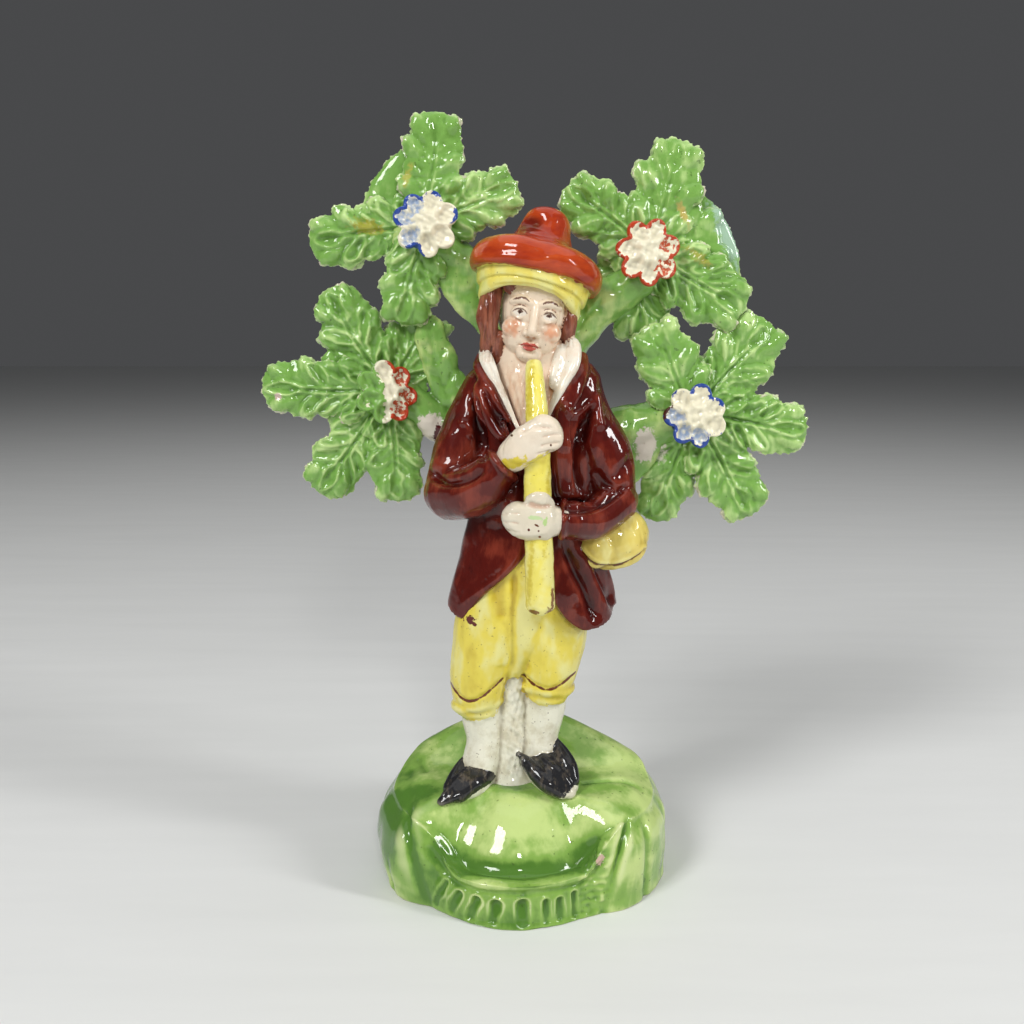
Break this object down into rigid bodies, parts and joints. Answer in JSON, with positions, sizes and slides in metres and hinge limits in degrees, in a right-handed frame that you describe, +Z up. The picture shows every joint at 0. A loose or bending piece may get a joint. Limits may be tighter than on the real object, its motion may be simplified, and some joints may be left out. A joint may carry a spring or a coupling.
{
  "type": "bocage figure",
  "caption": "Glazed pottery figure of a standing piper in coat, breeches and soft cap, backed by a flowering leafy bocage on a rocky mound base.",
  "frame": {"origin": "middle of the flat underside of the mound, on the table", "axes": "+Z up, -Y the front that the figure faces, +X to the viewer's right"},
  "size_m": [0.1353, 0.0616, 0.1857],
  "materials": {
    "glazed_body": "clear glossy glaze over green",
    "bare_pearlware": "clear glossy glaze over cream white body",
    "maroon_enamel": "glossy brushed maroon enamel",
    "yellow_enamel": "glossy brushed yellow enamel",
    "red_enamel": "glossy brushed orange red enamel",
    "black_enamel": "glossy black brown enamel"
  },
  "bodies": {
    "root": {"bocage_figure": "glazed_body"}
  },
  "joints": []
}
